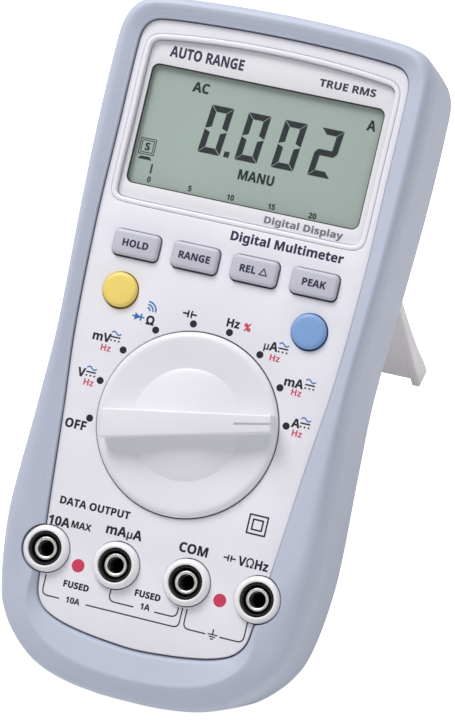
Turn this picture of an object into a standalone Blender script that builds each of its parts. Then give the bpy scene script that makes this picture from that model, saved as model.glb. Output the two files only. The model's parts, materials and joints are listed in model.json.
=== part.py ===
"""Handheld digital multimeter in a rubber holster, standing on its open tilt stand.

Lengths are in millimetres in the meter's own frame, and the shape helpers turn them into metres.
In that frame x points to the right of the face, y up the face from the holster's bottom edge, and
z out of the face, with z = 0 on the white front panel. An empty leans that frame back onto the table,
so that in the world +Z is up and the face looks towards -Y. Every sub-part is one closed solid.
"""

import math

import bpy
from mathutils import Matrix, Vector

MM = 0.001

# Standing pose: lean of the face above the table, and the tilt stand's hinge, opening and length.
LEAN = math.radians(46.4)
HINGE_Y, HINGE_Z = 136.5, -37.0
STAND_OPEN = math.radians(71.5)
STAND_REACH = 110.7
FOOT_DEPTH = 7.0
STAND_HALF = 27.5
FRONT_REACH = 0.7  # world y of the foremost point of the holster, before centring

# Depths of the faces, from the front of the holster to its back.
RIM_Z, PANEL_Z, SHOULDER_Z, PLATE_Z, SHOULDER_BACK_Z = 3.0, 0.0, -4.0, -2.8, -6.8
SPLIT_Z, RECESS_Z, REAR_Z, BACK_Z = -16.2, -34.8, -41.0, -44.0
GAP = 0.3
WALL = 2.0
RUBBER = 4.4
BOARD_TOP_Z, BOARD_BACK_Z = -9.6, -11.2
# The case's outer surface, as depths and distances in from the holster's outline.
CASE_DEPTHS = ((REAR_Z, 8.0), (-38.0, 6.4), (-33.0, 5.4), (SPLIT_Z, RUBBER + 0.2), (SHOULDER_Z, RUBBER))

# Controls, as centres on the face.
DIAL_Y, DIAL_RADIUS = 72.2, 23.7
DIAL_POINTS = math.radians(-78.0)  # the rest position, counted from straight up
KEY_Y, KEY_PITCH, KEY_SIZE = 114.1, 15.96, (12.1, 6.6)
KEY_X = [KEY_PITCH * (i - 1.5) for i in range(4)]
KEY_NAMES = ("key_hold", "key_range", "key_relative", "key_peak")
ROUND_KEY_X, ROUND_KEY_Y, ROUND_KEY_RADIUS = 25.4, 102.0, 4.5
KEY_PROUD, KEY_FLANGE = 1.5, 0.9
JACK_Y, JACK_PITCH = 33.4, 19.0
JACK_X = [JACK_PITCH * (i - 1.5) for i in range(4)]
JACK_NAMES = ("10a", "ma", "com", "volt")
SCREWS = [(side * x, y) for x, y in ((31.5, 121.0), (19.0, 14.0)) for side in (-1, 1)]
COVER_SCREW_Y = 121.0
DISPLAY_OPENING = (-31.1, 31.1, 129.6, 161.2)
STAND_WINDOW = (-29.3, 29.3, 18.4, 165.0)  # the opening in the holster's back
# Each fuse as its y, length and radius.
FUSES = {"fuse_10a": (47.0, 38.0, 5.15), "fuse_ma": (58.2, 32.0, 3.15)}
BATTERY = (-13.25, 13.25, 66.0, 112.5)
BATTERY_BACK_Z, BATTERY_FRONT_Z = -31.8, -14.3

# Half outlines, from the bottom centre round the right side to the top centre. All have the same
# number of points, so that one outline blends into another.
HOLSTER = [
    (0, 0.4), (9.5, 0.7), (18.9, 2.1), (26.5, 5.0), (33.4, 10.8), (37.6, 17), (39.5, 23),
    (40.9, 32), (41.6, 44), (40.6, 70), (40.0, 90), (41.4, 119), (42.3, 142), (42.3, 164.5),
    (41.4, 171.6), (38.2, 176.4), (32.5, 178.4), (16.5, 179.6), (0, 180),
]
PANEL = [
    (0, 13.9), (7, 14.3), (14, 15.1), (20.5, 16.4), (25.2, 18.4), (27.7, 21.4), (28.6, 25.5),
    (29.3, 33), (30.5, 44), (32.8, 70), (34.8, 90), (36.0, 119), (36.0, 142), (36.0, 164.5),
    (35.5, 168.8), (33.7, 171.3), (30.5, 172.3), (15.5, 173.2), (0, 173.5),
]
DISPLAY = [
    (0, 125.5), (16, 125.5), (30.3, 125.6), (32.4, 126.3), (32.9, 128.3), (32.9, 146),
    (32.9, 164.2), (32.3, 166.3), (30.4, 167.3), (16, 168.7), (0, 169.2),
]
BOTTOM_RECESS = [
    (0, 6.2), (12, 6.7), (22, 8.2), (26.8, 11.4), (28.9, 15.5), (29.9, 21), (30.1, 26.5), (29.2, 28), (0, 28),
]

MATERIALS = {
    "holster_rubber": ((0.44, 0.49, 0.63), 0.55, 0.0),
    "case_white": ((0.80, 0.80, 0.84), 0.4, 0.0),
    "collar_white": ((0.82, 0.82, 0.85), 0.35, 0.0),
    "stand_white": ((0.78, 0.77, 0.80), 0.4, 0.0),
    "lens_clear": ((0.85, 0.87, 0.87), 0.08, 0.0),
    "label_white": ((0.76, 0.76, 0.80), 0.5, 0.0),
    "lcd_glass": ((0.33, 0.40, 0.37), 0.2, 0.0),
    "tray_white": ((0.72, 0.72, 0.72), 0.5, 0.0),
    "light_guide": ((0.75, 0.80, 0.78), 0.2, 0.0),
    "elastomer": ((0.15, 0.15, 0.16), 0.7, 0.0),
    "board_green": ((0.02, 0.16, 0.07), 0.45, 0.0),
    "key_grey": ((0.42, 0.42, 0.47), 0.5, 0.0),
    "key_yellow": ((0.82, 0.60, 0.12), 0.45, 0.0),
    "key_blue": ((0.18, 0.33, 0.62), 0.45, 0.0),
    "knob_white": ((0.78, 0.78, 0.82), 0.4, 0.0),
    "plastic_black": ((0.02, 0.02, 0.022), 0.5, 0.0),
    "contact_metal": ((0.72, 0.68, 0.62), 0.3, 1.0),
    "steel": ((0.60, 0.60, 0.62), 0.35, 1.0),
    "fuse_ceramic": ((0.85, 0.84, 0.80), 0.4, 0.0),
    "battery_jacket": ((0.10, 0.11, 0.13), 0.4, 0.0),
    "lead_red": ((0.45, 0.03, 0.03), 0.5, 0.0),
    "port_filter": ((0.10, 0.01, 0.015), 0.15, 0.0),
}


# ---- outlines -------------------------------------------------------------------------------------


def smooth_half(keys, steps):
    """A smooth curve through the keys of a half outline and their mirror images, as one closed loop."""
    spots = [Vector(key) for key in keys] + [Vector((-x, y)) for x, y in reversed(keys[1:-1])]
    count = len(spots)
    spans = [spots[(i + 1) % count] - spots[i] for i in range(count)]
    slopes = [(spans[i - 1] + spans[i]).normalized() for i in range(count)]
    made = []
    for i, span in enumerate(spans):
        leave, arrive = slopes[i] * span.length, slopes[(i + 1) % count] * span.length
        for step in range(steps):
            t = step / steps
            bend = (leave * (1 - t) - arrive * t) * t * (1 - t)
            made.append(tuple(spots[i] + span * t * t * (3 - 2 * t) + bend))
    return made


def inset(outline, distance):
    """The outline moved inwards by a distance, or outwards where it is negative."""
    moved = []
    count = len(outline)
    for i, point in enumerate(outline):
        before = (Vector(point) - Vector(outline[i - 1])).normalized()
        after = (Vector(outline[(i + 1) % count]) - Vector(point)).normalized()
        along = (before + after).normalized()
        reach = distance / max(along.dot(after), 0.5)
        moved.append((point[0] - along.y * reach, point[1] + along.x * reach))
    return moved


def blend(outer, inner, part):
    return [(a[0] + (b[0] - a[0]) * part, a[1] + (b[1] - a[1]) * part) for a, b in zip(outer, inner)]


def rounded_box(x0, x1, y0, y1, radius, steps=2):
    corners = ((x1, y0, -90), (x1, y1, 0), (x0, y1, 90), (x0, y0, 180))
    outline = []
    for x, y, start in corners:
        centre_x = x - math.copysign(radius, x - (x0 + x1) / 2)
        centre_y = y - math.copysign(radius, y - (y0 + y1) / 2)
        for step in range(steps + 1):
            angle = math.radians(start + 90 * step / steps)
            outline.append((centre_x + radius * math.cos(angle), centre_y + radius * math.sin(angle)))
    return outline


def circle(x, y, radius, sides=24):
    turns = [2 * math.pi * i / sides for i in range(sides)]
    return [(x + radius * math.cos(turn), y + radius * math.sin(turn)) for turn in turns]


# ---- shapes: each is (points, faces), in millimetres ----------------------------------------------


def loft(layers):
    """A solid through layers of (z, outline), listed from the lowest to the highest."""
    count = len(layers[0][1])
    points = [(x, y, z) for z, outline in layers for x, y in outline]
    faces = [tuple(reversed(range(count)))]
    for layer in range(len(layers) - 1):
        low, high = layer * count, (layer + 1) * count
        for i in range(count):
            j = (i + 1) % count
            faces.append((low + i, low + j, high + j, high + i))
    last = (len(layers) - 1) * count
    faces.append(tuple(range(last, last + count)))
    return points, faces


def prism(outline, low, high):
    return loft([(low, outline), (high, outline)])


def block(x0, x1, y0, y1, z0, z1):
    return prism([(x0, y0), (x1, y0), (x1, y1), (x0, y1)], z0, z1)


def rod(x, y, radius, low, high, sides=24):
    return prism(circle(x, y, radius, sides), low, high)


def turned(profile, sides):
    """A solid turned about z from a profile of (radius, z) that starts and ends on the axis, lowest first."""
    inner = profile[1:-1]
    count = len(inner)
    points = [(0, 0, profile[0][1]), (0, 0, profile[-1][1])]
    for side in range(sides):
        turn = 2 * math.pi * side / sides
        points += [(radius * math.cos(turn), radius * math.sin(turn), z) for radius, z in inner]
    faces = []
    for side in range(sides):
        here, there = 2 + side * count, 2 + (side + 1) % sides * count
        faces.append((0, there, here))
        for i in range(count - 1):
            faces.append((here + i, there + i, there + i + 1, here + i + 1))
        faces.append((here + count - 1, there + count - 1, 1))
    return points, faces


def tube(profile, sides):
    """A ring turned about z from a closed profile of (radius, z) that runs up its outer side."""
    count = len(profile)
    points = []
    for side in range(sides):
        turn = 2 * math.pi * side / sides
        points += [(radius * math.cos(turn), radius * math.sin(turn), z) for radius, z in profile]
    faces = []
    for side in range(sides):
        here, there = side * count, (side + 1) % sides * count
        for i in range(count):
            j = (i + 1) % count
            faces.append((here + i, there + i, there + j, here + j))
    return points, faces


def wire(route, radius, sides=6):
    """A round wire along a route of (x, y, z), with flat ends."""
    spots = [Vector(spot) for spot in route]
    layers = []
    side = Vector((1, 0, 0))
    for i, spot in enumerate(spots):
        along = (spots[min(i + 1, len(spots) - 1)] - spots[max(i - 1, 0)]).normalized()
        side = (side - along * side.dot(along)).normalized()
        up = along.cross(side)
        turns = [2 * math.pi * k / sides for k in range(sides)]
        layers.append([tuple(spot + radius * (side * math.cos(t) + up * math.sin(t))) for t in turns])
    points = [point for layer in layers for point in layer]
    faces = [tuple(reversed(range(sides)))]
    for layer in range(len(layers) - 1):
        low, high = layer * sides, (layer + 1) * sides
        faces += [(low + i, low + (i + 1) % sides, high + (i + 1) % sides, high + i) for i in range(sides)]
    last = (len(layers) - 1) * sides
    faces.append(tuple(range(last, last + sides)))
    return points, faces


def moved(shape, matrix):
    points, faces = shape
    return [tuple(matrix @ Vector(point)) for point in points], faces


def along_x(shape):
    """A shape built up z, laid down so that its z runs along x."""
    return moved(shape, Matrix(((0, 0, 1), (1, 0, 0), (0, 1, 0))))


# ---- objects --------------------------------------------------------------------------------------


def clear_scene():
    for item in list(bpy.data.objects):
        bpy.data.objects.remove(item, do_unlink=True)


def make_material(slot):
    colour, roughness, metallic = MATERIALS[slot]
    material = bpy.data.materials.new(slot)
    material.use_nodes = True
    shader = material.node_tree.nodes["Principled BSDF"]
    shader.inputs["Base Color"].default_value = (*colour, 1.0)
    shader.inputs["Roughness"].default_value = roughness
    shader.inputs["Metallic"].default_value = metallic
    return material


def mesh_object(name, shape):
    points, faces = shape
    mesh = bpy.data.meshes.new(name)
    mesh.from_pydata([tuple(value * MM for value in point) for point in points], [], faces)
    mesh.update()
    item = bpy.data.objects.new(name, mesh)
    bpy.context.collection.objects.link(item)
    return item


def body(name, shape, slot, parent, at=(0, 0, 0)):
    """One sub-part, whose shape is given about the place where its own origin lies."""
    item = mesh_object(name, shape)
    item.parent = parent
    item.location = Vector(at) * MM
    item.data.shade_smooth()
    item.data.set_sharp_from_angle(angle=math.radians(35))
    item.data.materials.append(MADE[slot])
    return item


def change(item, operation, shapes):
    for shape in shapes:
        tool = mesh_object(f"{item.name}_tool_{len(item.modifiers)}", shape)
        tool.parent = item
        tool.hide_render = True
        tool.display_type = "WIRE"
        modifier = item.modifiers.new(tool.name, "BOOLEAN")
        modifier.operation = operation
        modifier.solver = "EXACT"
        modifier.object = tool


def cut(item, *shapes):
    change(item, "DIFFERENCE", shapes)


def join(item, *shapes):
    change(item, "UNION", shapes)


# ---- outlines shared by several pieces ------------------------------------------------------------


def holster_outline():
    return smooth_half(HOLSTER, 2)


def panel_outline():
    return smooth_half(PANEL, 2)


def display_outline():
    return smooth_half(DISPLAY, 2)


def case_layers(extra, depths):
    """Layers at depths of (z, distance in from the holster's outline), all moved in by extra."""
    outline = holster_outline()
    return [(z, inset(outline, distance + extra)) for z, distance in depths]


def world_to_meter(points):
    """Points on the table turned into the leaning frame, in millimetres."""
    lift = foot_drop()
    turned_back = Matrix.Rotation(-LEAN, 3, "X")
    return [tuple(turned_back @ Vector((x, y, z - lift))) for x, y, z in points]


def foot_reach(depth):
    """The stand's length at a depth of its side flange, so that its open foot lies flat on the table."""
    return STAND_REACH + depth * math.tan(STAND_OPEN + LEAN - math.pi / 2)


def foot_corners():
    """The (y, z) of the foot's inner and outer corners in the meter's frame, with the stand open."""
    corners = []
    for depth in (0.0, FOOT_DEPTH):
        reach = foot_reach(depth)
        corners.append((
            HINGE_Y - reach * math.cos(STAND_OPEN) + depth * math.sin(STAND_OPEN),
            HINGE_Z - reach * math.sin(STAND_OPEN) - depth * math.cos(STAND_OPEN),
        ))
    return corners


def foot_drop():
    """How far the stand's foot lies below the meter frame's origin."""
    y, z = foot_corners()[0]
    return -(y * math.sin(LEAN) + z * math.cos(LEAN))


def add_frame():
    """The empty that leans the meter back and centres it over the table's origin."""
    back_y, back_z = foot_corners()[1]
    rear_reach = back_y * math.cos(LEAN) - back_z * math.sin(LEAN)
    frame = bpy.data.objects.new("meter_frame", None)
    bpy.context.collection.objects.link(frame)
    frame.rotation_euler = (LEAN, 0, 0)
    frame.location = Vector((0, -(FRONT_REACH + rear_reach) / 2, foot_drop())) * MM
    return frame


# ---- holster and cases ----------------------------------------------------------------------------

def add_holster(frame):
    outer, panel = holster_outline(), panel_outline()
    back = [(BACK_Z, 8.5), (-41.0, 4.2), (-35.5, 1.9), (-4.0, 0.0)]
    roll = [(0.03, -1.6), (0.13, 1.1), (0.3, 2.7), (0.46, RIM_Z), (1.0, 1.1)]
    layers = [(z, inset(outer, distance)) for z, distance in back]
    layers += [(z, blend(outer, panel, part)) for part, z in roll]
    holster = body("holster", loft(layers), "holster_rubber", frame)
    hollow = case_layers(-GAP, ((REAR_Z - GAP, 7.7),) + CASE_DEPTHS[1:4] + ((SHOULDER_Z + GAP, RUBBER),))
    corners = ((-60, -60), (60, -60), (60, 60), (-60, 60))
    table = world_to_meter([(x, y, z) for z in (-20, 0) for x, y in corners])
    cut(
        holster,
        loft(hollow),
        prism(inset(panel, -GAP), -8, 8),
        prism(smooth_half(BOTTOM_RECESS, 2), 0.3, 8),
        prism(rounded_box(*STAND_WINDOW, 4), -50, -36),
        (table, block(0, 1, 0, 1, 0, 1)[1]),
    )
    for x in (JACK_X[0], JACK_X[3]):
        cut(holster, rod(x, JACK_Y, 6.4, -8, 8, 24))


def add_front_case(frame):
    panel = panel_outline()
    layers = case_layers(0, CASE_DEPTHS[3:])
    layers += [(SHOULDER_Z, panel), (-0.7, panel), (-0.2, inset(panel, 0.2)), (PANEL_Z, inset(panel, 0.6))]
    case = body("front_case", loft(layers), "case_white", frame)
    hollow = case_layers(WALL, ((SPLIT_Z - 1, RUBBER + 0.2), (SHOULDER_BACK_Z, RUBBER)))
    hollow += [(SHOULDER_BACK_Z, inset(panel, WALL)), (PLATE_Z, inset(panel, WALL))]
    cut(case, loft(hollow))
    for x, y in SCREWS:
        join(case, rod(x, y, 3.0, SPLIT_Z, -5.4, 12))
    for x, y in SCREWS:
        cut(case, rod(x, y, 1.6, SPLIT_Z - 1, -8.2, 8))
    display = display_outline()
    cut(case, prism(display, -2.1, 5), prism(inset(display, 1.3), -12, 5))
    for x in JACK_X:
        cut(case, rod(x, JACK_Y, 6.3, -12, 5, 20))
    for x in KEY_X:
        cut(case, prism(key_outline(x, KEY_Y, GAP), -5, 5))
    for side in (-1, 1):
        cut(case, rod(side * ROUND_KEY_X, ROUND_KEY_Y, ROUND_KEY_RADIUS + GAP, -5, 5, 20))
    cut(case, rod(0, DIAL_Y, DIAL_RADIUS + GAP, -1.4, 5, 40), rod(0, DIAL_Y, 9.0, -5, 5, 20))


def add_rear_case(frame):
    depths = CASE_DEPTHS[:3] + ((SPLIT_Z - GAP, RUBBER + 0.2),)
    case = body("rear_case", loft(case_layers(0, depths)), "case_white", frame)
    floor = RECESS_Z + 2.4
    cut(
        case,
        loft(case_layers(WALL, ((floor, 5.6), (SPLIT_Z + 1, RUBBER + 0.2)))),
        prism(rounded_box(-29, 29, 143, 168.5, 3), REAR_Z + WALL, floor + 1),
        prism(rounded_box(-STAND_HALF - 0.5, STAND_HALF + 0.5, 19.8, 140, 2), -50, RECESS_Z),
        along_x(rod(HINGE_Y, HINGE_Z, 1.8, -30.4, 30.4, 16)),
    )
    for x, y in SCREWS:
        join(case, rod(x, y, 3.4, floor - 0.5, SPLIT_Z - GAP, 12))
    join(case, rod(0, COVER_SCREW_Y, 3.0, floor - 0.5, -26.5, 12))
    for x, y in SCREWS:
        cut(case, rod(x, y, 2.9, -50, -33.0, 12), rod(x, y, 1.7, -35, -10, 8))
    cut(
        case,
        prism(rounded_box(-15.3, 15.3, 60.7, 125.3, 2), -36, RECESS_Z + 1.4),
        prism(rounded_box(-14, 14, 65, 117, 2), -36, -30),
        rod(0, COVER_SCREW_Y, 1.2, -36, -28, 8),
        prism(rounded_box(-8, 8, 151, 159, 1.5), -50, REAR_Z + 1.2),
    )


# ---- display --------------------------------------------------------------------------------------


def add_display(frame):
    outline = inset(display_outline(), GAP)
    body("display_lens", prism(outline, -1.2, -0.6), "lens_clear", frame)
    mask = body("display_mask", prism(outline, -1.8, -1.5), "label_white", frame)
    cut(mask, prism(rounded_box(*DISPLAY_OPENING, 2), -3, 0))
    body("lcd_cell", block(-32.2, 32.2, 127.2, 165.0, -5.0, -3.1), "lcd_glass", frame)
    tray = body("lcd_tray", prism(rounded_box(-33.4, 33.4, 124.8, 167.6, 2), -9.2, -3.2), "tray_white", frame)
    cut(tray, block(-32.6, 32.6, 126.8, 165.4, -12, 0))
    body("light_guide", block(-31.2, 31.2, 130.4, 161.8, -8.6, -5.4), "light_guide", frame)
    for name, y in (("elastomer_strip_lower", 127.6), ("elastomer_strip_upper", 162.4)):
        body(name, block(-30, 30, y, y + 2, -9.2, -5.4), "elastomer", frame)


# ---- keys -----------------------------------------------------------------------------------------


def key_outline(x, y, grow):
    half_x, half_y = KEY_SIZE[0] / 2 + grow, KEY_SIZE[1] / 2 + grow
    return rounded_box(x - half_x, x + half_x, y - half_y, y + half_y, 1.3 + max(grow, -0.6))


def add_keys(frame):
    cap, flange, top = key_outline(0, 0, 0), key_outline(0, 0, KEY_FLANGE), key_outline(0, 0, -0.6)
    layers = [(-4.2, flange), (-3.2, flange), (-3.2, cap), (KEY_PROUD - 0.5, cap), (KEY_PROUD, top)]
    for name, x in zip(KEY_NAMES, KEY_X):
        body(name, loft(layers), "key_grey", frame, (x, KEY_Y, 0))
    edge = ROUND_KEY_RADIUS
    wide = edge + KEY_FLANGE
    profile = [(0, -4.2), (wide, -4.2), (wide, -3.2), (edge, -3.2)]
    profile += [(edge, 0.8), (edge - 0.5, 1.4), (0, KEY_PROUD)]
    for name, side in (("key_yellow", -1), ("key_blue", 1)):
        body(name, turned(profile, 20), name, frame, (side * ROUND_KEY_X, ROUND_KEY_Y, 0))
    sheet = body("key_membrane", prism(rounded_box(-31, 31, 96.4, 117.5, 2), -9.3, -8.5), "elastomer", frame)
    spots = [(x, KEY_Y) for x in KEY_X] + [(side * ROUND_KEY_X, ROUND_KEY_Y) for side in (-1, 1)]
    for x, y in spots:
        y = min(y, 113.4)
        join(sheet, loft([(-9.0, circle(x, y, 3.6, 8)), (-5.6, circle(x, y, 2.2, 8))]))


# ---- rotary switch --------------------------------------------------------------------------------


def add_dial(frame):
    """The knob and what turns with it, on an empty whose z axis is the switch's axis."""
    pivot = bpy.data.objects.new("dial_axis", None)
    bpy.context.collection.objects.link(pivot)
    pivot.parent = frame
    pivot.location = Vector((0, DIAL_Y, 0)) * MM
    pivot.rotation_euler = (0, 0, DIAL_POINTS)
    edge = DIAL_RADIUS
    profile = [
        (0, -6.0), (8.6, -6.0), (8.6, -1.1), (edge, -1.1), (edge, 0.3), (edge - 1.3, 1.5),
        (14.3, 0.7), (8.0, 2.1), (0, 2.8),
    ]
    knob = body("dial_knob", turned(profile, 40), "knob_white", pivot)
    grip = [(-3.75, -21.2), (3.75, -21.2), (2.25, 23.3), (-2.25, 23.3)]
    join(knob, loft([(-0.6, grip), (5.4, grip), (6.0, inset(grip, 0.5))]))
    cut(knob, block(-0.3, 0.3, 13.6, 24, 5.5, 7), rod(0, 0, 3.3, -7, -3.2, 16))
    disc = [(0, -8.8), (17, -8.8), (17, -6.4), (3, -6.4), (3, -3.6), (0, -3.6)]
    rotor = body("contact_rotor", turned(disc, 24), "plastic_black", pivot)
    cut(rotor, rod(0, 13, 1.5, -7.9, -5, 10))
    for name, side in (("wiper_spring_left", -1), ("wiper_spring_right", 1)):
        body(name, block(-1, 1, -3, 3, -9.25, -9.1), "contact_metal", pivot, (side * 11, 0, 0))
    turns, wire_steps = 3, 8
    coil = []
    for step in range(turns * wire_steps + 1):
        turn = 2 * math.pi * step / wire_steps
        coil.append((0.9 * math.cos(turn), 0.9 * math.sin(turn), -7.3 + 1.2 * step / (turns * wire_steps)))
    body("detent_spring", wire(coil, 0.2, 4), "steel", pivot, (0, 13, 0))
    arc = [math.radians(-90 + 180 * i / 5) for i in range(6)]
    ball = [(max(1.2 * math.cos(a), 0), -4.5 + 1.2 * math.sin(a)) for a in arc]
    body("detent_ball", turned(ball, 10), "steel", pivot, (0, 13, 0))


# ---- input jacks ----------------------------------------------------------------------------------


def add_jacks(frame):
    collar = [(4.45, -3.0), (6.0, -3.0), (6.0, 1.5), (5.5, 2.0), (4.45, 2.0)]
    liner = [(3.7, -18.0), (4.15, -18.0), (4.15, 1.4), (3.7, 1.4)]
    sleeve = [(2.15, -19.5), (2.95, -19.5), (2.95, 0.9), (2.15, 0.9)]
    for name, x in zip(JACK_NAMES, JACK_X):
        at = (x, JACK_Y, 0)
        body(f"jack_collar_{name}", tube(collar, 20), "collar_white", frame, at)
        body(f"jack_liner_{name}", tube(liner, 14), "plastic_black", frame, at)
        body(f"jack_sleeve_{name}", tube(sleeve, 12), "contact_metal", frame, at)


# ---- inside ---------------------------------------------------------------------------------------


def add_board(frame):
    outline = inset(smooth_half(HOLSTER, 1), 7.4)
    board = body("circuit_board", prism(outline, BOARD_BACK_Z, BOARD_TOP_Z), "board_green", frame)
    for x in JACK_X:
        cut(board, rod(x, JACK_Y, 5.0, -14, -5, 12))
    for x, y in SCREWS:
        cut(board, rod(x, y, 3.6, -14, -5, 10))
    back = BOARD_BACK_Z - GAP
    body("buzzer", rod(0, 132, 9.0, back - 3, back, 24), "plastic_black", frame)
    body("measuring_chip", block(-22, -10, 140, 152, back - 1.6, back), "plastic_black", frame)
    for number, (name, (y, length, radius)) in enumerate(FUSES.items(), start=1):
        inner, outer = radius + GAP, radius + GAP + 0.25
        z = back - outer
        body(name, along_x(rod(0, 0, radius, -length / 2, length / 2, 20)), "fuse_ceramic", frame, (0, y, z))
        angles = [math.radians(-40 + 260 * i / 10) for i in range(11)]
        spring = [(outer * math.cos(a), outer * math.sin(a)) for a in angles]
        spring += [(inner * math.cos(a), inner * math.sin(a)) for a in reversed(angles)]
        for side, end in (("left", -1), ("right", 1)):
            clip = along_x(prism(spring, -2.5, 2.5))
            x = end * (length / 2 - 3)
            body(f"fuse_clip_{number}_{side}", clip, "contact_metal", frame, (x, y, z))


def add_battery(frame):
    case = prism(rounded_box(*BATTERY, 2), BATTERY_BACK_Z, BATTERY_FRONT_Z)
    battery = body("battery_9v", case, "battery_jacket", frame)
    middle = (BATTERY_BACK_Z + BATTERY_FRONT_Z) / 2
    for x, radius in ((-6.3, 2.8), (6.3, 3.6)):
        join(battery, terminal(x, radius, middle))
    body("battery_snap", block(-12.5, 12.5, 114.8, 116.6, middle - 6, middle + 6), "plastic_black", frame)
    for name, slot, x in (("battery_lead_plus", "lead_red", -5), ("battery_lead_minus", "plastic_black", 5)):
        route = [(x, 116.9, middle), (x, 119.0, middle + 1.5), (x, 119.6, middle + 5)]
        route.append((x, 119.6, BOARD_BACK_Z - GAP))
        body(name, wire(route, 0.6), slot, frame)
    plate = prism(rounded_box(-15, 15, 61, 125, 1.7), RECESS_Z, RECESS_Z + 1.1)
    cover = body("battery_cover", plate, "case_white", frame)
    cut(cover, rod(0, COVER_SCREW_Y, 1.5, -40, -30, 10))
    add_screw(frame, "battery_cover_screw", 0, COVER_SCREW_Y, RECESS_Z - GAP - 0.9, 0.9, 2.4, 0.9, 5.6)


def terminal(x, radius, z):
    """One of the battery's round contacts, standing on its upper end."""
    points, faces = rod(0, 0, radius, 112.0, 114.4, 16)
    return [(x + px, pz, z - py) for px, py, pz in points], faces


def add_screw(frame, name, x, y, z, head, head_radius, shank_radius, length):
    """A pan-head screw whose head starts at z and whose shank runs towards the face."""
    tip = head + length
    profile = [(0, 0), (head_radius, 0), (head_radius, head)]
    profile += [(shank_radius, head), (shank_radius, tip), (0, tip)]
    body(name, turned(profile, 10), "steel", frame, (x, y, z))


def add_case_screws(frame):
    names = ("upper_left", "upper_right", "lower_left", "lower_right")
    for name, (x, y) in zip(names, SCREWS):
        add_screw(frame, f"case_screw_{name}", x, y, -35.0, 1.7, 2.5, 1.3, 24.5)


def add_port(frame):
    window = prism(rounded_box(-7.7, 7.7, 151.3, 158.7, 1.2), REAR_Z, REAR_Z + 0.9)
    body("optical_port", window, "port_filter", frame)


# ---- tilt stand -----------------------------------------------------------------------------------


def add_stand(frame):
    """The stand in its folded place, with its hinge axis along x through its origin, then turned open."""
    side_edge = [(0, 1.6), (40, 2.4), (75, 3.7), (95, 5.2), (107, 6.6), (foot_reach(FOOT_DEPTH), FOOT_DEPTH)]
    profile = [(0, 0.0), (STAND_REACH, 0.0)] + list(reversed(side_edge))
    # Reach runs down the folded meter (-y), and depth runs away from its face (-z).
    flank = [(-reach, -depth) for reach, depth in profile]
    plate = block(-STAND_HALF + 1, STAND_HALF - 1, -107.0, 0, -2.1, -0.2)
    stand = body("tilt_stand", plate, "stand_white", frame, (0, HINGE_Y, HINGE_Z))
    for low, high in ((-STAND_HALF, -STAND_HALF + 2.6), (STAND_HALF - 2.6, STAND_HALF)):
        join(stand, along_x(prism(flank, low, high)))
    half = [(1.5, -30.0), (1.5, -STAND_HALF), (1.9, -STAND_HALF)]
    barrel = [(0, -30.0)] + half + [(radius, -x) for radius, x in reversed(half)] + [(0, 30.0)]
    join(stand, along_x(turned(barrel, 16)))
    stand.rotation_euler = (STAND_OPEN, 0, 0)


def build():
    frame = add_frame()
    add_holster(frame)
    add_front_case(frame)
    add_rear_case(frame)
    add_display(frame)
    add_keys(frame)
    add_dial(frame)
    add_jacks(frame)
    add_board(frame)
    add_battery(frame)
    add_case_screws(frame)
    add_port(frame)
    add_stand(frame)


clear_scene()
MADE = {slot: make_material(slot) for slot in MATERIALS}
build()
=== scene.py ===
"""Looks of the bench multimeter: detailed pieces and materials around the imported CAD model.

Lengths are in millimetres in the meter's own frame, as in the CAD: x to the right of the face, y up the
face from the holster's bottom edge, z out of the face, with z = 0 on the front panel. METER, DIAL and
STAND place those frames in the row frame, from the CAD joints.
"""

import json
import math

import bpy
import numpy as np
from mathutils import Matrix, Vector
from mathutils.geometry import delaunay_2d_cdt

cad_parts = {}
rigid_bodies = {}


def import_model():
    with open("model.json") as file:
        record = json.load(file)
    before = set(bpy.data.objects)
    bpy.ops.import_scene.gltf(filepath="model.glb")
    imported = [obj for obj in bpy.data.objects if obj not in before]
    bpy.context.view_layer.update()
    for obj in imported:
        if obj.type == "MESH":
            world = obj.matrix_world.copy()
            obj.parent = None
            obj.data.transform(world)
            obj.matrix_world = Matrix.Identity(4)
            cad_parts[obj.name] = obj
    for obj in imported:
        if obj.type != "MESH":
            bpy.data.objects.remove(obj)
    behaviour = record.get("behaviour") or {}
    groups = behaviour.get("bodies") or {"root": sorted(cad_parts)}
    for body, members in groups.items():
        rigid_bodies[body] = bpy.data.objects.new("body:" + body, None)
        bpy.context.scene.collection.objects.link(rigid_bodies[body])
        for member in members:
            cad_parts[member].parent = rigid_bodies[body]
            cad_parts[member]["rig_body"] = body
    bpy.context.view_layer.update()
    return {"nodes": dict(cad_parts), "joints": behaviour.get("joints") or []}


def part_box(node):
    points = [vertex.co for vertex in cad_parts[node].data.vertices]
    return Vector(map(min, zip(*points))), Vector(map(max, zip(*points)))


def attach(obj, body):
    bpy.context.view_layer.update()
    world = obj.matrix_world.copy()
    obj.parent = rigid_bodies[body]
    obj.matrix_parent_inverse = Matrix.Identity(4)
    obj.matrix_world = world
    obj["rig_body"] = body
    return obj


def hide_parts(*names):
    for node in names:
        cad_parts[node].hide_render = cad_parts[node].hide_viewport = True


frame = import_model()

MM = 0.001

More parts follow.
